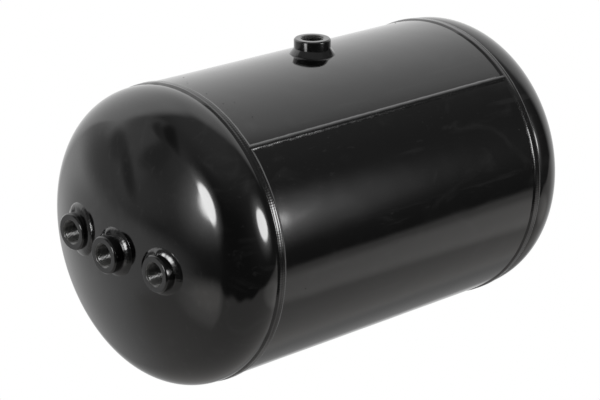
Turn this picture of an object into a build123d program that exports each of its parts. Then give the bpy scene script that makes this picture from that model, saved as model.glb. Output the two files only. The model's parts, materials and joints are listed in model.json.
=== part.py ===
from build123d import *

import os
from math import asin, cos, degrees, radians, sin, sqrt

# Welded steel pressure reservoir with four threaded ports.
#
# The tank lies along X. Its front head, with a row of three ports, faces -X, and the fourth
# port stands on top of the shell at mid-length, pointing +Z. The origin is on the floor, under
# the middle of the overall length. All sizes are in millimetres.

os.makedirs("parts", exist_ok=True)

# ---- Vessel ---------------------------------------------------------------------------
tank_radius = 138.0  # outside of the shell and of both heads
wall = 3.0  # sheet thickness
joint_span = 332.0  # between the mid-lines of the two girth joints

# ---- Dished heads ---------------------------------------------------------------------
head_flange = 10.7  # straight part, from the girth joint to the knuckle
knuckle_radius = 42.5  # outside of the tight bend
crown_radius = 276.0  # outside of the flat dome, equal to the tank's diameter
skirt_length = 14.0  # joggled edge that sits inside the shell
joggle_run = 5.0  # length over which the edge steps in by one wall
shell_setback = 1.0  # from the joint's mid-line to the shell's edge

# ---- Welds ----------------------------------------------------------------------------
girth_bead_width = 11.0
girth_bead_height = 1.4
seam_bead_width = 7.0
seam_bead_height = 1.5
seam_gap = 1.6  # between the edges of the rolled sheet
seam_angle = 132.8  # about the tank's axis, from +Y towards +Z
front_collar_leg = 3.4  # height of a front port's fillet weld on its boss
top_collar_leg = 5.0  # the same at the top port
collar_toe_radius = 22.0  # where the fillet weld meets the tank
collar_root = 5.0  # how far the weld's blank starts below the tank's surface

# ---- Ports, M22 x 1.5 female ----------------------------------------------------------
boss_radius = 17.25
boss_length = 20.0
bore_radius = 10.19  # minor radius of the thread
mouth_radius = 11.45  # countersink at the sealing face
rim_chamfer = 1.2  # outer edge of the sealing face
collar_top_radius = boss_radius + 0.35
port_pitch = 57.2  # from the middle front port to an outer one
port_row_tilt = 4.6  # turns the row about the tank's axis, +Y end up
middle_port_height = 13.0  # sealing face above the head's surface
left_port_height = 10.1
right_port_height = 8.4
top_port_height = 13.7

# ---- Derived geometry -----------------------------------------------------------------
crown_centre = head_flange - sqrt(
    (crown_radius - knuckle_radius) ** 2 - (tank_radius - knuckle_radius) ** 2
)
crown_angle = degrees(asin((tank_radius - knuckle_radius) / (crown_radius - knuckle_radius)))
head_depth = crown_centre + crown_radius  # from the girth joint to the apex
middle_x = middle_port_height / 2  # mid-length of the shell; centres the overall length on X = 0
axis_z = tank_radius + girth_bead_height  # the girth beads touch the floor
front_joint_x = middle_x - joint_span / 2
rear_joint_x = middle_x + joint_span / 2
shell_length = joint_span - 2 * shell_setback
tank_axis = Axis((0, 0, axis_z), (1, 0, 0))

# Section planes through the tank's axis: local x runs outward along the tank from a girth
# joint, and local y is the distance from the tank's axis.
rear_section = Plane(origin=(rear_joint_x, 0, axis_z), x_dir=(1, 0, 0), z_dir=(0, -1, 0))
front_section = Plane(origin=(front_joint_x, 0, axis_z), x_dir=(-1, 0, 0), z_dir=(0, 1, 0))


def cross_section(x):
    """Plane across the tank at x: local x is +Y, local y is +Z, normal +X."""
    return Plane(origin=(x, 0, axis_z), x_dir=(0, 1, 0), z_dir=(1, 0, 0))


def dome_line(depth):
    """Knuckle and crown at a depth below the outside surface, for the active BuildLine."""
    centre = (head_flange, tank_radius - knuckle_radius)
    CenterArc(centre, knuckle_radius - depth, 90, crown_angle - 90)
    CenterArc((crown_centre, 0), crown_radius - depth, crown_angle, -crown_angle)


def head_profile(section):
    """Section of a pressed head with its joggled skirt."""
    inner_radius = tank_radius - wall
    skirt_radius = inner_radius - wall
    groove_end = joggle_run - shell_setback
    with BuildSketch(section) as profile:
        with BuildLine():
            dome_line(0)
            Polyline(
                (head_flange, tank_radius),
                (groove_end, tank_radius),
                (-shell_setback, inner_radius),
                (-skirt_length, inner_radius),
                (-skirt_length, skirt_radius),
                (0, skirt_radius),
                (joggle_run, inner_radius),
                (head_flange, inner_radius),
            )
            dome_line(wall)
            Line((head_depth - wall, 0), (head_depth, 0))
        make_face()
    return profile.sketch


def girth_bead_profile(section):
    """Section of the weld that fills the joggle's groove and stands proud of it."""
    half_width = girth_bead_width / 2
    with BuildSketch(section) as profile:
        with BuildLine():
            ThreePointArc(
                (-half_width, tank_radius),
                (0, tank_radius + girth_bead_height),
                (half_width, tank_radius),
            )
            Polyline(
                (half_width, tank_radius),
                (joggle_run - shell_setback, tank_radius),
                (-shell_setback, tank_radius - wall),
                (-shell_setback, tank_radius),
                (-half_width, tank_radius),
            )
        make_face()
    return profile.sketch


# ---- Ports: where each one stands -----------------------------------------------------
class Port:
    """A boss: its foot on the tank's surface, its direction, and the surface's normal there."""

    def __init__(self, foot, outward, normal, height, leg):
        self.foot = Vector(*foot)
        self.outward = Vector(*outward)
        self.normal = Vector(*normal)
        self.face = self.foot + self.outward * height
        self.axis = Axis(self.face, self.outward)
        self.leg = leg

    def section(self):
        """Plane through the boss's axis: local x is its radius, local y points outward."""
        side = Vector(0, 1, 0)
        return Plane(origin=self.face, x_dir=side, z_dir=side.cross(self.outward))

    def tangent_plane(self, height):
        """Plane parallel to the tank's surface, centred on the boss's axis."""
        along = height / self.outward.dot(self.normal)
        return Plane(origin=self.foot + self.outward * along, x_dir=(0, 1, 0), z_dir=self.normal)


def front_port(offset, height):
    """A port in the front head, offset along the tilted row from the tank's axis."""
    y = offset * cos(radians(port_row_tilt))
    z = offset * sin(radians(port_row_tilt))
    reach = sqrt(crown_radius**2 - offset**2)
    foot = (front_joint_x - crown_centre - reach, y, axis_z + z)
    normal = (-reach / crown_radius, y / crown_radius, z / crown_radius)
    return Port(foot, (-1, 0, 0), normal, height, front_collar_leg)


ports = {
    "front_port_left": front_port(port_pitch, left_port_height),
    "front_port_middle": front_port(0, middle_port_height),
    "front_port_right": front_port(-port_pitch, right_port_height),
    "top_port": Port(
        (middle_x, 0, axis_z + tank_radius), (0, 0, 1), (0, 0, 1), top_port_height, top_collar_leg
    ),
}


# ---- Shell: one rolled sheet, open along the seam -------------------------------------
with BuildPart() as shell:
    with BuildSketch(cross_section(front_joint_x + shell_setback)):
        Circle(tank_radius)
        Circle(tank_radius - wall, mode=Mode.SUBTRACT)
        with PolarLocations(tank_radius - wall / 2, 1, start_angle=seam_angle):
            Rectangle(2 * wall, seam_gap, mode=Mode.SUBTRACT)
    extrude(amount=shell_length)
    with BuildSketch(Plane.XY.offset(axis_z)):
        with Locations((middle_x, 0)):
            Circle(boss_radius)
    extrude(amount=tank_radius + wall, mode=Mode.SUBTRACT)
shell.part.label = "shell"
export_step(shell.part, "parts/shell.step")

# ---- Heads ----------------------------------------------------------------------------
with BuildPart() as rear_head:
    revolve(head_profile(rear_section), axis=tank_axis)
rear_head.part.label = "rear_head"
export_step(rear_head.part, "parts/rear_head.step")

with BuildPart() as front_head:
    revolve(head_profile(front_section), axis=tank_axis)
    with BuildSketch(Plane.YZ.offset(front_joint_x)):
        with Locations((0, axis_z)):
            with Locations(Location((0, 0), port_row_tilt)):
                with GridLocations(port_pitch, 0, 3, 1):
                    Circle(boss_radius)
    extrude(amount=-2 * head_depth, mode=Mode.SUBTRACT)
front_head.part.label = "front_head"
export_step(front_head.part, "parts/front_head.step")

# ---- Seam weld: root in the gap, cap between the two girth beads ----------------------
cap_half_width = seam_bead_width / 2
cap_radius = (cap_half_width**2 + seam_bead_height**2) / (2 * seam_bead_height)
with BuildPart() as shell_seam_weld:
    with BuildSketch(cross_section(front_joint_x + shell_setback)):
        Circle(tank_radius)
        Circle(tank_radius - wall, mode=Mode.SUBTRACT)
        with PolarLocations(tank_radius - wall / 2, 1, start_angle=seam_angle):
            Rectangle(2 * wall, seam_gap, mode=Mode.INTERSECT)
    extrude(amount=shell_length)
    with BuildSketch(cross_section(front_joint_x + girth_bead_width / 2)):
        with PolarLocations(tank_radius + seam_bead_height - cap_radius, 1, start_angle=seam_angle):
            Circle(cap_radius)
        Circle(tank_radius, mode=Mode.SUBTRACT)
    extrude(amount=joint_span - girth_bead_width)
shell_seam_weld.part.label = "shell_seam_weld"
export_step(shell_seam_weld.part, "parts/shell_seam_weld.step")

# ---- Girth welds ----------------------------------------------------------------------
with BuildPart() as front_girth_weld:
    revolve(girth_bead_profile(front_section), axis=tank_axis)
front_girth_weld.part.label = "front_girth_weld"
export_step(front_girth_weld.part, "parts/front_girth_weld.step")

with BuildPart() as rear_girth_weld:
    revolve(girth_bead_profile(rear_section), axis=tank_axis)
rear_girth_weld.part.label = "rear_girth_weld"
export_step(rear_girth_weld.part, "parts/rear_girth_weld.step")

# ---- The tank's filled outside, which the port welds are trimmed to -------------------
with BuildPart() as envelope:
    with BuildSketch(front_section):
        with BuildLine():
            dome_line(0)
            Polyline(
                (head_flange, tank_radius),
                (-joint_span, tank_radius),
                (-joint_span, 0),
                (head_depth, 0),
            )
        make_face()
    revolve(axis=tank_axis)

# ---- Port bosses and their fillet welds -----------------------------------------------
mouth_depth = mouth_radius - bore_radius
for name, port in ports.items():
    with BuildPart() as boss:
        with BuildSketch(port.section()):
            with BuildLine():
                Polyline(
                    (mouth_radius, 0),
                    (boss_radius - rim_chamfer, 0),
                    (boss_radius, -rim_chamfer),
                    (boss_radius, -boss_length),
                    (mouth_radius, -boss_length),
                    (bore_radius, mouth_depth - boss_length),
                    (bore_radius, -mouth_depth),
                    close=True,
                )
            make_face()
        revolve(axis=port.axis)
    boss_name = name.replace("port", "port_boss")
    boss.part.label = boss_name
    export_step(boss.part, f"parts/{boss_name}.step")

    toe_slope = (collar_toe_radius - collar_top_radius) / port.leg
    root_radius = collar_toe_radius + collar_root * toe_slope
    with BuildPart() as collar:
        with BuildSketch(port.tangent_plane(-collar_root)):
            Circle(root_radius)
        with BuildSketch(port.tangent_plane(port.leg)):
            Circle(collar_top_radius)
        loft()
        with BuildSketch(Plane(origin=port.face, x_dir=(0, 1, 0), z_dir=port.outward)):
            Circle(boss_radius)
        extrude(amount=-3 * boss_length, mode=Mode.SUBTRACT)
        add(envelope.part, mode=Mode.SUBTRACT)
    collar_name = name.replace("port", "port_weld")
    collar.part.label = collar_name
    export_step(collar.part, f"parts/{collar_name}.step")
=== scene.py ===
"""Looks of the welded pressure reservoir: glossy black enamel over steel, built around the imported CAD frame.

Metres, in the frame's own axes: X along the tank, the head with three ports at -X, +Z up.
"""

import json
import math
import random

import bmesh
import bpy
import numpy as np
from mathutils import Matrix, Vector, noise


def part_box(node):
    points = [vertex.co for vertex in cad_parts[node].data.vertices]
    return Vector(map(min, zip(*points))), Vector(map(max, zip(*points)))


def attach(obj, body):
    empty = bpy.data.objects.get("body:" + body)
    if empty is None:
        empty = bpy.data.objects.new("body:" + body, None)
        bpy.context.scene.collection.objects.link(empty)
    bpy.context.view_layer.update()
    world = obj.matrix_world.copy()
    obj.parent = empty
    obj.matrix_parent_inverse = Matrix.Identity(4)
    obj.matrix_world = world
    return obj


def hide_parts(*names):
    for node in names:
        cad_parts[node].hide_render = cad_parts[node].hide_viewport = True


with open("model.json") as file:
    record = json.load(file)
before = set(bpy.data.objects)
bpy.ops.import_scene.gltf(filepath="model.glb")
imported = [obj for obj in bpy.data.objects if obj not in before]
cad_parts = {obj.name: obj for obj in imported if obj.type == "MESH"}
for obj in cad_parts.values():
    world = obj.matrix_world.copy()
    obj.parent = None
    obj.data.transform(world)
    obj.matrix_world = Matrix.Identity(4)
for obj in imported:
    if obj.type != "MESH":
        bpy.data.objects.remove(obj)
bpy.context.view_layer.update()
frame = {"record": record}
MM = 0.001

# ---- Sizes read from the frame -----------------------------------------------------------
shell_low, shell_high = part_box("shell")
RADIUS = (shell_high.z - shell_low.z) / 2
AXIS_Z = (shell_high.z + shell_low.z) / 2
MIDDLE_X = (shell_high.x + shell_low.x) / 2
front_bead_low, front_bead_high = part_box("front_girth_weld")
rear_bead_low, rear_bead_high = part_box("rear_girth_weld")
FRONT_JOINT_X = (front_bead_low.x + front_bead_high.x) / 2
REAR_JOINT_X = (rear_bead_low.x + rear_bead_high.x) / 2
BEAD_WIDTH = front_bead_high.x - front_bead_low.x
BEAD_HEIGHT = (front_bead_high.z - front_bead_low.z) / 2 - RADIUS
HEAD_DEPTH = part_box("rear_head")[1].x - REAR_JOINT_X
SKIRT_LENGTH = REAR_JOINT_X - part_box("rear_head")[0].x
SHELL_SETBACK = REAR_JOINT_X - shell_high.x
seam_low, seam_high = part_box("shell_seam_weld")
SEAM_ANGLE = math.atan2((seam_low.z + seam_high.z) / 2 - AXIS_Z, (seam_low.y + seam_high.y) / 2)
BORE_RADIUS = frame["record"]["mounts"][0]["dims"]["r_mm"] * MM

# ---- Sizes of the pressing and the threads -----------------------------------------------
WALL = 3.0 * MM
KNUCKLE_RADIUS = 42.5 * MM
HEAD_FLANGE = 10.7 * MM  # straight part, from the girth joint to the knuckle
JOGGLE_RUN = 5.0 * MM
SEAM_GAP = 1.6 * MM
SEAM_BEAD_WIDTH = 7.0 * MM
SEAM_BEAD_HEIGHT = 1.5 * MM
THREAD_PITCH = 1.5 * MM
THREAD_DEPTH = 0.85 * MM
MOUTH_RADIUS = 11.45 * MM
RIM_CHAMFER = 1.2 * MM
BEAD_SINK = 0.06 * MM  # how far a bead's toes lie under the sheet's surface
BEAD_ROOT = 0.8 * MM  # how deep its edges go
BORE_COLOUR = (0.045, 0.045, 0.043, 1)
BORE_ROUGHNESS = 0.20

dome_rise = HEAD_DEPTH - HEAD_FLANGE
CROWN_RADIUS = ((RADIUS - KNUCKLE_RADIUS) ** 2 + dome_rise**2 - KNUCKLE_RADIUS**2) / (
    2 * (dome_rise - KNUCKLE_RADIUS)
)
CROWN_CENTRE = HEAD_DEPTH - CROWN_RADIUS  # from the girth joint
CROWN_ANGLE = math.asin((RADIUS - KNUCKLE_RADIUS) / (CROWN_RADIUS - KNUCKLE_RADIUS))


# ---- Mesh helpers ------------------------------------------------------------------------
def new_mesh_object(name, vertices, faces, sharp_degrees=35):
    """A smooth-shaded mesh object whose corners above an angle stay sharp."""
    mesh = bpy.data.meshes.new(name)
    mesh.from_pydata([tuple(v) for v in vertices], [], faces)
    finish_mesh(mesh, sharp_degrees)
    piece = bpy.data.objects.new(name, mesh)
    bpy.context.scene.collection.objects.link(piece)
    return piece


def finish_mesh(mesh, sharp_degrees=35):
    """Welds poles, points faces outward and sets smooth shading."""
    body = bmesh.new()
    body.from_mesh(mesh)
    bmesh.ops.remove_doubles(body, verts=body.verts, dist=1e-6)
    bmesh.ops.recalc_face_normals(body, faces=body.faces)
    body.to_mesh(mesh)
    body.free()
    mesh.polygons.foreach_set("use_smooth", [True] * len(mesh.polygons))
    mesh.set_sharp_from_angle(angle=math.radians(sharp_degrees))
    mesh.update()


def grid_faces(rows, columns, close_rows, close_columns):
    """Quads between neighbouring points of a grid, wrapped round where asked."""
    last_row = rows if close_rows else rows - 1
    last_column = columns if close_columns else columns - 1
    faces = []
    for r in range(last_row):
        for c in range(last_column):
            r2, c2 = (r + 1) % rows, (c + 1) % columns
            faces.append((r * columns + c, r2 * columns + c, r2 * columns + c2, r * columns + c2))
    return faces


def grid_object(name, points, close_rows, close_columns, sharp_degrees=35):
    """A mesh over an array of points[row, column]."""
    rows, columns, _ = points.shape
    faces = grid_faces(rows, columns, close_rows, close_columns)
    return new_mesh_object(name, points.reshape(-1, 3), faces, sharp_degrees)


def cut_cylinder(piece, centre, direction, radius, length):
    """Cuts a round hole through a mesh."""
    segments = 96
    turn = direction.to_track_quat("Z", "Y").to_matrix().to_4x4()
    cutter_mesh = bpy.data.meshes.new("cutter")
    body = bmesh.new()
    bmesh.ops.create_cone(
        body, cap_ends=True, segments=segments, radius1=radius, radius2=radius, depth=length,
        matrix=Matrix.Translation(centre) @ turn,
    )
    body.to_mesh(cutter_mesh)
    body.free()
    cutter = bpy.data.objects.new("cutter", cutter_mesh)
    bpy.context.scene.collection.objects.link(cutter)
    cut = piece.modifiers.new("hole", "BOOLEAN")
    cut.operation = "DIFFERENCE"
    cut.solver = "EXACT"
    cut.object = cutter
    bpy.context.view_layer.update()
    evaluated = piece.evaluated_get(bpy.context.evaluated_depsgraph_get())
    mesh = bpy.data.meshes.new_from_object(evaluated)
    piece.modifiers.clear()
    piece.data = mesh
    finish_mesh(mesh)
    bpy.data.objects.remove(cutter)


def keep(piece, slot, material, *nodes):
    """Hangs a finished piece on the frame."""
    piece.data.materials.clear()
    piece.data.materials.append(material)
    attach(piece, "root")
    if nodes:
        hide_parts(*nodes)
    return piece


def around(angle, radius, x):
    """Point on the tank at an angle from +Y towards +Z."""
    return (x, radius * math.cos(angle), AXIS_Z + radius * math.sin(angle))


# ---- How the real sheet departs from the ideal one ----------------------------------------
def ripple(x, y, z, wavelength, seed):
    """Smooth noise from -1 to 1 with a feature size in metres."""
    return noise.noise(Vector((x / wavelength + seed, y / wavelength - seed, z / wavelength + 2 * seed)))


def seam_distance(angle):
    """Signed distance along the shell from the seam's mid-line."""
    turn = (angle - SEAM_ANGLE + math.pi) % (2 * math.pi) - math.pi
    return turn * RADIUS


def shell_offset(x, angle):
    """How far the rolled sheet stands off its ideal radius: rolling waves, weld shrinkage, a peaked seam."""
    _, y, z = around(angle, RADIUS, x)
    waves = 0.16 * MM * ripple(x * 0.45, y, z, 60 * MM, 3.1) + 0.05 * MM * ripple(x, y, z, 22 * MM, 8.4)
    ends = min(x - FRONT_JOINT_X, REAR_JOINT_X - x)
    shrinkage = -0.12 * MM * math.exp(-((ends / (13 * MM)) ** 2))
    peak = 0.35 * MM * math.exp(-abs(seam_distance(angle)) / (11 * MM))
    return waves + shrinkage + peak


def head_offset(x, angle, radius):
    """How far a pressed head stands off its ideal shape."""
    _, y, z = around(angle, radius, x)
    return 0.07 * MM * ripple(x, y, z, 45 * MM, 5.7) * min(1.0, radius / (30 * MM))


# ---- Pieces ------------------------------------------------------------------------------
def build_shell():
    """The rolled sheet with its hole for the top port."""
    across, along = 360, 121
    half_gap = SEAM_GAP / 2 / RADIUS
    angles = np.linspace(SEAM_ANGLE + half_gap, SEAM_ANGLE + 2 * math.pi - half_gap, across)
    ease = 0.5 - 0.5 * np.cos(np.linspace(0, math.pi, along))
    steps = 0.6 * ease + 0.4 * np.linspace(0, 1, along)
    stations = shell_low.x + (shell_high.x - shell_low.x) * steps
    rows = []
    for angle in angles:
        outer = [around(angle, RADIUS + shell_offset(x, angle), x) for x in stations]
        inner = [around(angle, RADIUS - WALL + shell_offset(x, angle), x) for x in stations[::-1]]
        rows.append(outer + inner)
    points = np.array(rows)
    rows, columns, _ = points.shape
    faces = grid_faces(rows, columns, False, True)
    for r in (0, rows - 1):
        for c in range(along - 1):
            base = r * columns
            far = columns - 1 - c
            faces.append((base + c, base + c + 1, base + far - 1, base + far))
    shell = new_mesh_object("rolled_shell", points.reshape(-1, 3), faces)
    low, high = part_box("top_port_boss")
    centre = Vector(((low.x + high.x) / 2, 0, low.z))
    cut_cylinder(shell, centre, Vector((0, 0, 1)), (high.x - low.x) / 2, 60 * MM)
    return shell


def head_profile(depth, count):
    """(distance from the joint, radius) along the dome at a depth below its outside, from the apex out."""
    crown = [
        (CROWN_CENTRE + (CROWN_RADIUS - depth) * math.cos(a), (CROWN_RADIUS - depth) * math.sin(a))
        for a in np.linspace(0, CROWN_ANGLE, count, endpoint=False)
    ]
    knuckle = [
        (
            HEAD_FLANGE + (KNUCKLE_RADIUS - depth) * math.cos(a),
            RADIUS - KNUCKLE_RADIUS + (KNUCKLE_RADIUS - depth) * math.sin(a),
        )
        for a in np.linspace(CROWN_ANGLE, math.pi / 2, count)
    ]
    return crown + knuckle


def build_head(name, joint_x, outward):
    """A pressed dished head with its joggled skirt; outward is -1 at the front and 1 at the rear."""
    groove_end = JOGGLE_RUN - SHELL_SETBACK
    inner = RADIUS - WALL
    edge = [
        (groove_end, RADIUS),
        (-SHELL_SETBACK, inner),
        (-SKIRT_LENGTH, inner),
        (-SKIRT_LENGTH, inner - WALL),
        (0, inner - WALL),
        (JOGGLE_RUN, inner),
    ]
    profile = head_profile(0, 60) + edge + head_profile(WALL, 30)[::-1]
    segments = 320
    points = np.zeros((len(profile), segments, 3))
    for i, (s, r) in enumerate(profile):
        x = joint_x + outward * s
        for j in range(segments):
            angle = 2 * math.pi * j / segments
            lift = head_offset(x, angle, r)
            points[i, j] = around(angle, r, x + outward * lift)
    return grid_object(name, points, False, True)


def bead_section(count):
    """Positions across a weld bead from -1 to 1, closer together at the toes."""
    return np.sin(np.linspace(-math.pi / 2, math.pi / 2, count))


def bead_cap(u, flank):
    """Height of a bead from 0 at its toes to 1, with flanks as wide as a share of its half width."""
    return math.sin(math.pi / 2 * min(1.0, (1 - abs(u)) / flank))


def build_girth_bead(name, joint_x, outward):
    """The weld between shell and head: steep flanks, faint runs side by side, ripples and an uneven edge."""
    segments = 1500
    across = bead_section(31)
    columns = []
    for j in range(segments):
        angle = 2 * math.pi * j / segments
        length = angle * RADIUS
        _, y, z = around(angle, RADIUS, joint_x)
        half = BEAD_WIDTH / 2 * (1 + 0.06 * ripple(joint_x, y, z, 9 * MM, 1.7))
        height = BEAD_HEIGHT * (0.94 + 0.14 * ripple(joint_x, y, z, 14 * MM, 6.2))
        runs = 0.07 * MM * (0.8 + 0.9 * ripple(joint_x, y, z, 40 * MM, 4.4))
        column = []
        for u in across:
            x = joint_x + outward * half * u
            toe = shell_offset(x, angle) if u < 0 else -0.25 * MM
            cap = height * bead_cap(u, 0.6)
            wave = runs * math.cos(2 * math.pi * u / 0.5) * (1 - u**4)
            lap = 0.03 * MM * math.sin(2 * math.pi * (length / (2.3 * MM) + 0.6 * u * u)) * (1 - u**4)
            column.append(around(angle, RADIUS + toe + cap + wave + lap - BEAD_SINK, x))
        for u in (1.0, -0.15):
            x = joint_x + outward * half * u
            drop = BEAD_ROOT if u > 0 else 2.6 * MM
            column.append(around(angle, RADIUS - drop, x))
        column.append(around(angle, RADIUS - BEAD_ROOT, joint_x - outward * half))
        columns.append(column)
    return grid_object(name, np.array(columns), True, True, sharp_degrees=60)


def build_seam_bead():
    """The straight weld along the shell, from one girth bead to the other."""
    start, end = FRONT_JOINT_X + 1.5 * MM, REAR_JOINT_X - 1.5 * MM
    stations = np.linspace(start, end, 660)
    across = bead_section(21)
    rows = []
    for x in stations:
        half = SEAM_BEAD_WIDTH / 2 * (1 + 0.06 * ripple(x, 0, 0, 7 * MM, 2.9))
        height = SEAM_BEAD_HEIGHT * (0.96 + 0.14 * ripple(x, 0, 0, 12 * MM, 7.7))
        row = []
        for u in across:
            angle = SEAM_ANGLE + half * u / RADIUS
            cap = height * bead_cap(u, 0.85)
            lap = 0.03 * MM * math.sin(2 * math.pi * (x / (1.9 * MM) + 0.6 * u * u)) * (1 - u**4)
            row.append(around(angle, RADIUS + shell_offset(x, angle) + cap + lap - BEAD_SINK, x))
        for u in (1.0, 0.2, -0.2, -1.0):
            angle = SEAM_ANGLE + half * u / RADIUS
            drop = BEAD_ROOT if abs(u) == 1 else WALL
            row.append(around(angle, RADIUS - drop, x))
        rows.append(row)
    points = np.array(rows)
    count, columns, _ = points.shape
    faces = grid_faces(count, columns, False, True)
    faces.append(tuple(range(columns)))
    faces.append(tuple((count - 1) * columns + c for c in reversed(range(columns))))
    return new_mesh_object("seam_bead", points.reshape(-1, 3), faces, sharp_degrees=60)


def boss_frame(node):
    """(centre of the sealing face, outward direction, outside radius, length) of a boss."""
    low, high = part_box(node)
    size = high - low
    centre = (low + high) / 2
    if node == "top_port_boss":
        return Vector((centre.x, centre.y, high.z)), Vector((0, 0, 1)), size.x / 2, size.z
    return Vector((low.x, centre.y, centre.z)), Vector((-1, 0, 0)), size.y / 2, size.x


def axes_about(direction):
    """Two unit vectors that span the plane across a direction."""
    side = Vector((0, 1, 0))
    return side, direction.cross(side)


def rounded(corner_a, corner, corner_b, radius, count=4):
    """Points of a small round on a profile's corner."""
    a = Vector(corner_a) - Vector(corner)
    b = Vector(corner_b) - Vector(corner)
    start = Vector(corner) + a.normalized() * radius
    end = Vector(corner) + b.normalized() * radius
    points = []
    for t in np.linspace(0, 1, count):
        points.append(tuple((1 - t) ** 2 * start + 2 * t * (1 - t) * Vector(corner) + t * t * end))
    return points


def build_boss(node, name):
    """A turned boss: chamfered rim, flat sealing face, countersunk mouth and a real helical thread."""
    face, outward, radius, length = boss_frame(node)
    mouth_depth = MOUTH_RADIUS - BORE_RADIUS
    outside = [
        (radius, -length),
        (radius, -length * 0.5),
        *rounded((radius, -length), (radius, -RIM_CHAMFER), (radius - RIM_CHAMFER, 0), 0.3 * MM),
        *rounded((radius, -RIM_CHAMFER), (radius - RIM_CHAMFER, 0), (MOUTH_RADIUS, 0), 0.3 * MM),
        (radius - 0.35 * (radius - MOUTH_RADIUS), 0),
        (radius - 0.7 * (radius - MOUTH_RADIUS), 0),
        *rounded((radius, 0), (MOUTH_RADIUS, 0), (BORE_RADIUS, -mouth_depth), 0.2 * MM),
    ]
    depths = np.arange(-mouth_depth * 0.25, -length + mouth_depth * 0.25, -THREAD_PITCH / 9)
    side, up = axes_about(outward)
    segments = 144
    columns = []
    for j in range(segments):
        angle = 2 * math.pi * j / segments
        spoke = side * math.cos(angle) + up * math.sin(angle)
        column = [face + spoke * r + outward * t for r, t in outside]
        for t in depths:
            phase = (t / THREAD_PITCH + angle / (2 * math.pi)) % 1
            flank = min(1.0, max(0.0, abs(phase - 0.5) * 2.6 - 0.15))
            cut = BORE_RADIUS + THREAD_DEPTH * flank
            countersink = max(MOUTH_RADIUS + t, MOUTH_RADIUS - (length + t))
            column.append(face + spoke * max(cut, countersink) + outward * t)
        column.append(face + spoke * MOUTH_RADIUS - outward * length)
        columns.append(column)
    boss = grid_object(name, np.array([[tuple(p) for p in c] for c in columns]), True, True, sharp_degrees=40)
    bare = boss.data.attributes.new("bare", "FLOAT", "POINT")
    for vertex, mark in zip(boss.data.vertices, bare.data):
        away = vertex.co - face
        mark.value = 1.0 if (away - outward * away.dot(outward)).length < MOUTH_RADIUS - 0.1 * MM else 0.0
    return boss


def surface_height(node, point, outward):
    """Distance from a point on a boss's axis plane to the tank's surface, along the outward direction."""
    if outward.z > 0.5:
        top = AXIS_Z + math.sqrt(RADIUS**2 - point.y**2)
        return top - point.z
    reach = math.sqrt(CROWN_RADIUS**2 - point.y**2 - (point.z - AXIS_Z) ** 2)
    surface_x = FRONT_JOINT_X - (CROWN_CENTRE + reach)
    return point.x - surface_x


def bump_at(angle, centre, width):
    """1 at an angle round a circle, falling smoothly to 0 on both sides of it."""
    turn = (angle - centre + math.pi) % (2 * math.pi) - math.pi
    return math.exp(-((turn / width) ** 2))


def build_collar(node, name, seed, leg, toe_radius, crown, lump_angle, skirt, drift):
    """The fillet weld round a boss, from its toe on the tank up to the boss's side.

    Crown is how convex the bead is. A lump marks where it closed, and a thin skirt of run metal spreads
    its toe on the opposite side. Drift is how far the whole toe lies towards the tank's upper -Y side.
    """
    face, outward, radius, length = boss_frame(node)
    side, up = axes_about(outward)
    segments = 288
    columns = []
    for j in range(segments):
        angle = 2 * math.pi * j / segments
        spoke = side * math.cos(angle) + up * math.sin(angle)
        sway = ripple(math.cos(angle), math.sin(angle), seed, 0.55, seed)
        lump = bump_at(angle, lump_angle, 0.2)
        spread = skirt * bump_at(angle, lump_angle + 2.5, 0.85)
        toe = toe_radius * (1 + 0.02 * sway) + 1.9 * MM * lump + spread + drift * math.cos(angle + 2.2)
        height = leg * (1 + 0.08 * sway) + 2.1 * MM * lump
        column = []
        for t in np.linspace(0, 1, 25):
            out = math.cos(math.pi / 2 * t)
            share = out * (toe - radius) / (toe_radius - radius)
            r = radius - 0.1 * MM + out * (toe - radius)
            spot = face + spoke * r
            ground = surface_height(node, spot, outward)
            inner = min(1.0, share)
            bead = (1 - crown) * (1 - inner) + crown * math.sqrt(1 - inner * inner)
            skirt_edge = 0.9 * MM * math.sqrt(1 - out) if spread > 0.3 * MM else 0.0
            lap = 0.025 * MM * math.sin(angle * 41 + 2.2 * t) * math.sin(math.pi * t)
            column.append(spot + outward * (ground + max(height * bead, skirt_edge) + lap - 0.05 * MM))
        for r, sink in ((radius - 1.2 * MM, 1.0 * MM), (toe - 1.5 * MM, 1.5 * MM)):
            spot = face + spoke * r
            column.append(spot + outward * (surface_height(node, spot, outward) - sink))
        columns.append([tuple(p) for p in column])
    return grid_object(name, np.array(columns), True, True, sharp_degrees=60)


def surface_frame(x, angle):
    """Point on the shell's outside and the outward direction there."""
    outward = Vector((0, math.cos(angle), math.sin(angle)))
    return Vector(around(angle, RADIUS + shell_offset(x, angle), x)), outward


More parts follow.
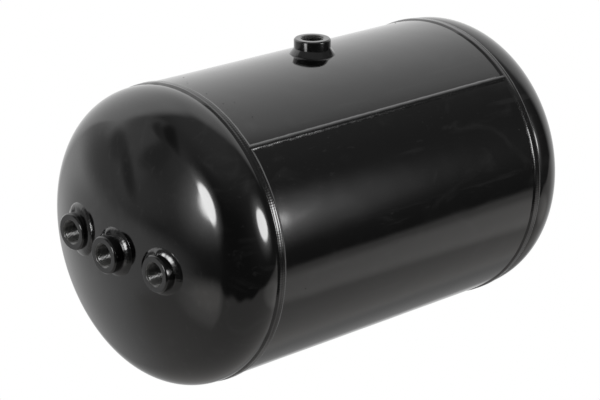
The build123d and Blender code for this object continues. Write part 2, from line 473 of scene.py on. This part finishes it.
def build_spatter():
    """Droplets thrown by the welding: flattened beads fused to the shell beside its welds."""
    dice = random.Random(11)
    body = bmesh.new()
    for index in range(46):
        if index < 22:
            x = FRONT_JOINT_X + dice.uniform(9, 30) * MM
            angle = SEAM_ANGLE + dice.uniform(-1.3, 1.0)
        elif index < 34:
            x = dice.uniform(FRONT_JOINT_X + 20 * MM, REAR_JOINT_X - 20 * MM)
            angle = SEAM_ANGLE + dice.choice((-1, 1)) * dice.uniform(6, 22) * MM / RADIUS
        else:
            x = REAR_JOINT_X - dice.uniform(9, 24) * MM
            angle = SEAM_ANGLE + dice.uniform(-1.3, 1.0)
        size = dice.uniform(0.25, 0.6) * MM
        spot, outward = surface_frame(x, angle)
        turn = outward.to_track_quat("Z", "Y").to_matrix().to_4x4()
        squash = Matrix.Diagonal((size, size * dice.uniform(0.8, 1.3), size * 0.7, 1))
        made = bmesh.ops.create_icosphere(
            body, subdivisions=2, radius=1, matrix=Matrix.Translation(spot) @ turn @ squash
        )
        for vertex in made["verts"]:
            wobble = noise.noise(vertex.co / (1.1 * MM) + Vector((index, 0, 0)))
            vertex.co += (vertex.co - spot) * 0.2 * wobble
    mesh = bpy.data.meshes.new("weld_spatter")
    body.to_mesh(mesh)
    body.free()
    mesh.polygons.foreach_set("use_smooth", [True] * len(mesh.polygons))
    spatter = bpy.data.objects.new("weld_spatter", mesh)
    bpy.context.scene.collection.objects.link(spatter)
    return spatter


# ---- Materials ---------------------------------------------------------------------------
def math_nodes(tree):
    """Two functions that add nodes to a tree: value(operation, terms) and a smooth step from 0 to 1."""

    def value(operation, *terms):
        node = tree.nodes.new("ShaderNodeMath")
        node.operation = operation
        for socket, term in zip(node.inputs, terms):
            if isinstance(term, (int, float)):
                socket.default_value = term
            else:
                tree.links.new(term, socket)
        return node.outputs[0]

    def step(term, low, high):
        node = tree.nodes.new("ShaderNodeMapRange")
        node.interpolation_type = "SMOOTHSTEP"
        node.inputs["From Min"].default_value = low
        node.inputs["From Max"].default_value = high
        tree.links.new(term, node.inputs["Value"])
        return node.outputs["Result"]

    return value, step


def paint(name, base, roughness, dust, peel, bare=False):
    """Gloss black enamel: slight roughness variation, thin dust and wipe marks, and orange peel.

    Where a mesh has the attribute "bare", oiled steel shows instead.
    """
    material = bpy.data.materials.new(name)
    material.use_nodes = True
    tree = material.node_tree
    shader = tree.nodes["Principled BSDF"]
    place = tree.nodes.new("ShaderNodeTexCoord")
    value, _ = math_nodes(tree)

    def cloud(scale, detail, distortion=0.0, stretch=None):
        texture = tree.nodes.new("ShaderNodeTexNoise")
        texture.inputs["Scale"].default_value = scale
        texture.inputs["Detail"].default_value = detail
        texture.inputs["Distortion"].default_value = distortion
        if stretch:
            mapping = tree.nodes.new("ShaderNodeMapping")
            mapping.inputs["Scale"].default_value = stretch
            tree.links.new(place.outputs["Object"], mapping.inputs["Vector"])
            tree.links.new(mapping.outputs["Vector"], texture.inputs["Vector"])
        else:
            tree.links.new(place.outputs["Object"], texture.inputs["Vector"])
        return texture.outputs["Fac"]

    def ramp(value, low, high, from_low, from_high):
        node = tree.nodes.new("ShaderNodeMapRange")
        node.interpolation_type = "SMOOTHSTEP"
        node.inputs["From Min"].default_value = low
        node.inputs["From Max"].default_value = high
        node.inputs["To Min"].default_value = from_low
        node.inputs["To Max"].default_value = from_high
        tree.links.new(value, node.inputs["Value"])
        return node.outputs["Result"]

    def stronger(first, second):
        return value("MAXIMUM", first, second)

    smudges = ramp(cloud(15, 7, 1.8, (1, 1.6, 1.6)), 0.54, 0.78, 0.0, 0.8)
    specks = ramp(cloud(420, 2), 0.71, 0.77, 0.0, 1.0)
    wipes = ramp(cloud(170, 4, 0.4, (0.05, 1, 0.6)), 0.60, 0.72, 0.0, 0.6)
    scuffs = ramp(cloud(90, 5, 3.0, (0.4, 1, 1.5)), 0.66, 0.74, 0.0, 0.9)
    dirt = stronger(stronger(smudges, specks), stronger(wipes, scuffs))
    colour = tree.nodes.new("ShaderNodeMix")
    colour.data_type = "RGBA"
    colour.inputs["A"].default_value = (*base, 1)
    colour.inputs["B"].default_value = (*[c + dust for c in base], 1)
    tree.links.new(dirt, colour.inputs["Factor"])
    coat = colour.outputs["Result"]
    gloss = ramp(cloud(30, 4, 0.6), 0.35, 0.75, roughness, roughness * 1.7)
    if bare:
        steel = tree.nodes.new("ShaderNodeAttribute")
        steel.attribute_name = "bare"
        change = tree.nodes.new("ShaderNodeMix")
        change.data_type = "RGBA"
        tree.links.new(steel.outputs["Fac"], change.inputs["Factor"])
        tree.links.new(coat, change.inputs["A"])
        change.inputs["B"].default_value = BORE_COLOUR
        coat = change.outputs["Result"]
        gloss = stronger(gloss, ramp(steel.outputs["Fac"], 0.4, 0.6, 0.0, BORE_ROUGHNESS))
    tree.links.new(coat, shader.inputs["Base Color"])
    tree.links.new(gloss, shader.inputs["Roughness"])
    shader.inputs["IOR"].default_value = 1.5

    bump = tree.nodes.new("ShaderNodeBump")
    bump.inputs["Strength"].default_value = 0.35
    bump.inputs["Distance"].default_value = peel
    tree.links.new(cloud(260, 2), bump.inputs["Height"])
    tree.links.new(bump.outputs["Normal"], shader.inputs["Normal"])
    return material


# ---- Studio ------------------------------------------------------------------------------
def build_camera():
    """A long lens, a little to the left of the tank's front and above it."""
    azimuth, elevation, roll = math.radians(-43.21), math.radians(19.05), math.radians(0.115)
    distance, shift_right, shift_up = 2.140, -0.01112, -0.00722
    back = Vector(
        (
            math.sin(azimuth) * math.cos(elevation),
            -math.cos(azimuth) * math.cos(elevation),
            math.sin(elevation),
        )
    )
    right = Vector((math.cos(azimuth), math.sin(azimuth), 0))
    up = back.cross(right)
    right, up = (
        right * math.cos(roll) + up * math.sin(roll),
        up * math.cos(roll) - right * math.sin(roll),
    )
    centre = Vector((MIDDLE_X, 0, AXIS_Z))
    spot = centre + back * distance + right * shift_right + up * shift_up
    data = bpy.data.cameras.new("camera")
    data.lens = 135
    data.clip_end = 50
    camera = bpy.data.objects.new("camera", data)
    bpy.context.scene.collection.objects.link(camera)
    turn = Matrix((right, up, back)).transposed().to_4x4()
    camera.matrix_world = Matrix.Translation(spot) @ turn
    bpy.context.scene.camera = camera


def build_world():
    """A white sweep behind, a white table and a dim room around the camera."""
    world = bpy.data.worlds.new("studio")
    bpy.context.scene.world = world
    world.use_nodes = True
    tree = world.node_tree
    tree.nodes.clear()

    value, step = math_nodes(tree)

    def blend(below, above, mask):
        node = tree.nodes.new("ShaderNodeMix")
        node.data_type = "RGBA"
        for socket, colour in ((node.inputs["A"], below), (node.inputs["B"], above)):
            if isinstance(colour, tuple):
                socket.default_value = (*colour, 1)
            else:
                tree.links.new(colour, socket)
        tree.links.new(mask, node.inputs["Factor"])
        return node.outputs["Result"]

    def grey(level, warm=0.0):
        return (level * (1 + warm), level, level * (1 - warm))

    coordinates = tree.nodes.new("ShaderNodeTexCoord")
    split = tree.nodes.new("ShaderNodeSeparateXYZ")
    tree.links.new(coordinates.outputs["Generated"], split.inputs[0])
    x, y, z = split.outputs
    azimuth = value("DEGREES", value("ARCTAN2", x, value("MULTIPLY", y, -1)))
    elevation = value("DEGREES", value("ARCSINE", z))

    def offsets(centre, half, lean):
        """How far a direction is from a centre, in half widths and half heights."""
        up = value("SUBTRACT", elevation, centre[1])
        across = value("WRAP", value("SUBTRACT", azimuth, centre[0]), 180, -180)
        across = value("SUBTRACT", across, value("MULTIPLY", up, lean))
        return value("DIVIDE", across, half[0]), value("DIVIDE", up, half[1])

    def zone(centre, half, soft, power=2, lean=0.0):
        """Mask of a rounded shape in the studio, in degrees of azimuth and elevation."""
        a, b = (value("POWER", value("ABSOLUTE", term), power) for term in offsets(centre, half, lean))
        return step(value("ADD", a, b), 1 + soft, 1 - soft)

    def glow(base, strength, centre, half, lean=0.0):
        """Adds a patch of light that fades away from its centre."""
        a, b = (value("MULTIPLY", term, term) for term in offsets(centre, half, lean))
        node = tree.nodes.new("ShaderNodeMix")
        node.data_type = "RGBA"
        node.blend_type = "ADD"
        tree.links.new(value("EXPONENT", value("MULTIPLY", value("ADD", a, b), -1)), node.inputs["Factor"])
        tree.links.new(base, node.inputs["A"])
        node.inputs["B"].default_value = (*grey(strength), 1)
        return node.outputs["Result"]

    # the dim room, lighter towards the ceiling, with faint streaks of its fittings
    light = blend(grey(0.075), grey(0.46), step(elevation, 12, 76))
    light = glow(light, 0.16, (24, 39), (18, 3.0))
    light = glow(light, 0.12, (5, 52), (40, 2.5))
    light = glow(light, 0.10, (-60, 47), (22, 4), lean=1.5)
    # light on the things round the two softboxes
    light = glow(light, 0.45, (-104, 14), (20, 24))
    light = glow(light, 0.28, (22, 14), (28, 20))
    # the white table
    away = value("WRAP", value("ADD", azimuth, 30), 180, -180)
    edge = value("SUBTRACT", value("MULTIPLY", value("POWER", value("ABSOLUTE", away), 2), 0.0026), 34)
    broad, narrow = (value("SINE", value("MULTIPLY", azimuth, rate)) for rate in (0.07, 0.19))
    skyline = value("ADD", broad, narrow)
    table = step(value("SUBTRACT", value("ADD", value("MINIMUM", edge, -8), skyline), elevation), -1.5, 2.5)
    light = blend(light, grey(0.52, 0.02), table)
    # painted reflections of the two softboxes in the glossy table: a broad one on the right, a broad one with
    # a brighter core on the left
    light = blend(light, grey(0.90, 0.02), zone((50, -31), (27, 7.5), 0.7))
    light = blend(light, grey(0.92, 0.02), zone((-97, -31), (13, 8), 0.95))
    light = blend(light, grey(1.15, 0.03), zone((-97, -29), (7, 4), 0.95))
    # the white sweep behind the tank, darker where it runs out as the table
    turn = value("WRAP", value("SUBTRACT", azimuth, 75), 340, -20)
    sweep = blend(grey(0.95), grey(1.5), step(turn, -25, 60))
    sweep = blend(sweep, grey(1.8), step(turn, 60, 105))
    sweep = blend(grey(0.53), sweep, step(elevation, -55, 35))
    light = blend(light, sweep, zone((148, 10), (72, 62), 0.5, power=4, lean=-0.12))
    # painted shadow: the tank's own shadow on the table next to it, darker than the rest of the table
    light = blend(light, grey(0.38), zone((116, -42), (22, 9), 0.6))
    # what stands beside the sweep: the table's far part, a pale panel and dark gear
    light = blend(light, grey(0.75), zone((-141, -19), (36, 11), 0.6))
    light = blend(light, grey(0.47), zone((-138, 0), (27, 9), 0.8))
    light = blend(light, grey(0.68), zone((-134, 24), (11, 24), 0.8))
    light = blend(light, grey(0.13), zone((-118, 37), (8, 15), 0.95, lean=-0.25))
    light = blend(light, grey(0.28), zone((-127, 30), (5, 12), 0.95, lean=-0.4))
    light = blend(light, grey(0.24), zone((-135, 3), (4, 6), 0.95, lean=-0.8))
    light = blend(light, grey(0.30), zone((-124, 12), (5, 5), 0.95, lean=0.8))
    light = blend(light, grey(0.34), zone((-144, 7), (5, 4), 0.95))

    studio = tree.nodes.new("ShaderNodeBackground")
    tree.links.new(light, studio.inputs["Color"])
    backdrop = tree.nodes.new("ShaderNodeBackground")
    backdrop.inputs["Color"].default_value = (1, 1, 1, 1)
    rays = tree.nodes.new("ShaderNodeLightPath")
    mix = tree.nodes.new("ShaderNodeMixShader")
    output = tree.nodes.new("ShaderNodeOutputWorld")
    tree.links.new(rays.outputs["Is Camera Ray"], mix.inputs[0])
    tree.links.new(studio.outputs[0], mix.inputs[1])
    tree.links.new(backdrop.outputs[0], mix.inputs[2])
    tree.links.new(mix.outputs[0], output.inputs[0])


def softbox_material(name, half_width, half_height, strength, spill, fade):
    """Light of an oval diffuser: even inside, a soft edge, and a spill that fades away round it."""
    material = bpy.data.materials.new(name)
    material.use_nodes = True
    tree = material.node_tree
    tree.nodes.clear()

    value, step = math_nodes(tree)

    coordinates = tree.nodes.new("ShaderNodeTexCoord")
    split = tree.nodes.new("ShaderNodeSeparateXYZ")
    tree.links.new(coordinates.outputs["Object"], split.inputs[0])
    across = value("POWER", value("DIVIDE", split.outputs[0], half_width), 2)
    along = value("POWER", value("DIVIDE", split.outputs[1], half_height), 2)
    radius = value("SQRT", value("ADD", across, along))
    outside = value("MAXIMUM", value("SUBTRACT", radius, 1), 0)
    halo = value("MULTIPLY", value("EXPONENT", value("MULTIPLY", outside, -fade)), spill)
    halo = value("MULTIPLY", halo, step(radius, 2.6, 1.8))
    core = value("MULTIPLY", step(radius, 1.16, 0.86), strength - spill)
    emission = tree.nodes.new("ShaderNodeEmission")
    emission.inputs["Color"].default_value = (1, 1, 1, 1)
    tree.links.new(value("ADD", core, halo), emission.inputs["Strength"])
    clear = tree.nodes.new("ShaderNodeBsdfTransparent")
    total = tree.nodes.new("ShaderNodeAddShader")
    output = tree.nodes.new("ShaderNodeOutputMaterial")
    tree.links.new(emission.outputs[0], total.inputs[0])
    tree.links.new(clear.outputs[0], total.inputs[1])
    tree.links.new(total.outputs[0], output.inputs["Surface"])
    return material


def build_softbox(name, aim, azimuth, elevation, half_width, half_height, lean, strength, spill, fade):
    """An oval softbox facing a point on the tank; angles in degrees as seen from there.

    A card carries what the gloss reflects, and an area light of the same size lights the dust on the paint.
    """
    distance = 1.3
    a, e = math.radians(azimuth), math.radians(elevation)
    away = Vector((math.sin(a) * math.cos(e), -math.cos(a) * math.cos(e), math.sin(e)))
    turn = away.to_track_quat("Z", "Y").to_matrix() @ Matrix.Rotation(math.radians(lean), 3, "Z")
    place = Matrix.Translation(aim + away * distance) @ turn.to_4x4()
    wide = distance * math.tan(math.radians(half_width))
    high = distance * math.tan(math.radians(half_height))

    body = bmesh.new()
    bmesh.ops.create_circle(
        body, cap_ends=True, segments=64, radius=1, matrix=Matrix.Diagonal((2.7 * wide, 2.7 * high, 1, 1))
    )
    mesh = bpy.data.meshes.new(name + "_card")
    body.to_mesh(mesh)
    body.free()
    mesh.materials.append(softbox_material(name + "_light", wide, high, strength, spill, fade))
    card = bpy.data.objects.new(name + "_card", mesh)
    card.matrix_world = place
    card.visible_camera = card.visible_diffuse = card.visible_shadow = False
    bpy.context.scene.collection.objects.link(card)

    data = bpy.data.lights.new(name, "AREA")
    data.shape = "ELLIPSE"
    data.size, data.size_y = 2 * wide, 2 * high
    # radiance of an area light is its power over pi times its area
    data.energy = strength * math.pi * math.pi / 4 * data.size * data.size_y
    softbox = bpy.data.objects.new(name, data)
    softbox.matrix_world = place
    softbox.visible_glossy = False
    bpy.context.scene.collection.objects.link(softbox)


def build_overhead():
    """A broad light from above for the dust on the paint; the gloss doesn't show it."""
    data = bpy.data.lights.new("overhead", "SUN")
    data.energy = 1.7
    data.angle = math.radians(80)
    overhead = bpy.data.objects.new("overhead", data)
    overhead.visible_glossy = False
    bpy.context.scene.collection.objects.link(overhead)


# ---- Assembly ----------------------------------------------------------------------------
build_camera()
build_world()
build_overhead()
left_aim = Vector((FRONT_JOINT_X - 0.06, -0.10, AXIS_Z + 0.06))
right_aim = Vector((FRONT_JOINT_X - 0.025, -0.125, AXIS_Z + 0.05))
build_softbox(
    "left_softbox", left_aim, azimuth=-88.2, elevation=10.0, half_width=12.3, half_height=9.7, lean=43,
    strength=18.8, spill=3.0, fade=2.6,
)
build_softbox(
    "right_softbox", right_aim, azimuth=27.9, elevation=11.9, half_width=11.9, half_height=10.6, lean=-28,
    strength=16.6, spill=2.4, fade=2.6,
)
bpy.context.scene.view_settings.view_transform = "Standard"

vessel_paint = paint("vessel_paint", (0.0007, 0.0007, 0.0007), 0.07, 0.007, 0.02 * MM)
weld_paint = paint("weld_paint", (0.0008, 0.0008, 0.0008), 0.13, 0.005, 0.06 * MM)
port_paint = paint("port_paint", (0.001, 0.001, 0.001), 0.10, 0.006, 0.03 * MM, bare=True)

keep(build_shell(), "vessel_paint", vessel_paint, "shell")

front_head = build_head("front_head_pressing", FRONT_JOINT_X, -1)
for boss_node in ("front_port_boss_left", "front_port_boss_middle", "front_port_boss_right"):
    hole_face, hole_outward, hole_radius, _ = boss_frame(boss_node)
    cut_cylinder(front_head, hole_face, hole_outward, hole_radius, 120 * MM)
keep(front_head, "vessel_paint", vessel_paint, "front_head")
keep(build_head("rear_head_pressing", REAR_JOINT_X, 1), "vessel_paint", vessel_paint, "rear_head")

keep(build_girth_bead("front_girth_bead", FRONT_JOINT_X, -1), "weld_paint", weld_paint, "front_girth_weld")
keep(build_girth_bead("rear_girth_bead", REAR_JOINT_X, 1), "weld_paint", weld_paint, "rear_girth_weld")
keep(build_seam_bead(), "weld_paint", weld_paint, "shell_seam_weld")

# boss, weld, then its collar: seed, leg, toe radius, crown, lump angle, skirt and drift, in mm and radians
ports = (
    ("front_port_boss_left", "front_port_weld_left", 2.0, 3.2, 24.6, 0.6, -0.96, 1.0, 1.2),
    ("front_port_boss_middle", "front_port_weld_middle", 3.0, 3.8, 22.8, 0.6, -1.22, 0.0, 1.6),
    ("front_port_boss_right", "front_port_weld_right", 5.0, 3.2, 22.2, 0.6, -1.54, 1.5, 2.6),
    ("top_port_boss", "top_port_weld", 7.0, 5.0, 21.8, 0.1, 3.6, 0.0, 0.0),
)
for boss_node, weld_node, seed, weld_leg, weld_toe, weld_crown, weld_lump, weld_skirt, weld_drift in ports:
    keep(build_boss(boss_node, boss_node + "_turned"), "port_paint", port_paint, boss_node)
    collar = build_collar(
        boss_node, weld_node + "_collar", seed, weld_leg * MM, weld_toe * MM, weld_crown, weld_lump,
        weld_skirt * MM, weld_drift * MM,
    )
    keep(collar, "weld_paint", weld_paint, weld_node)
keep(build_spatter(), "weld_paint", weld_paint)
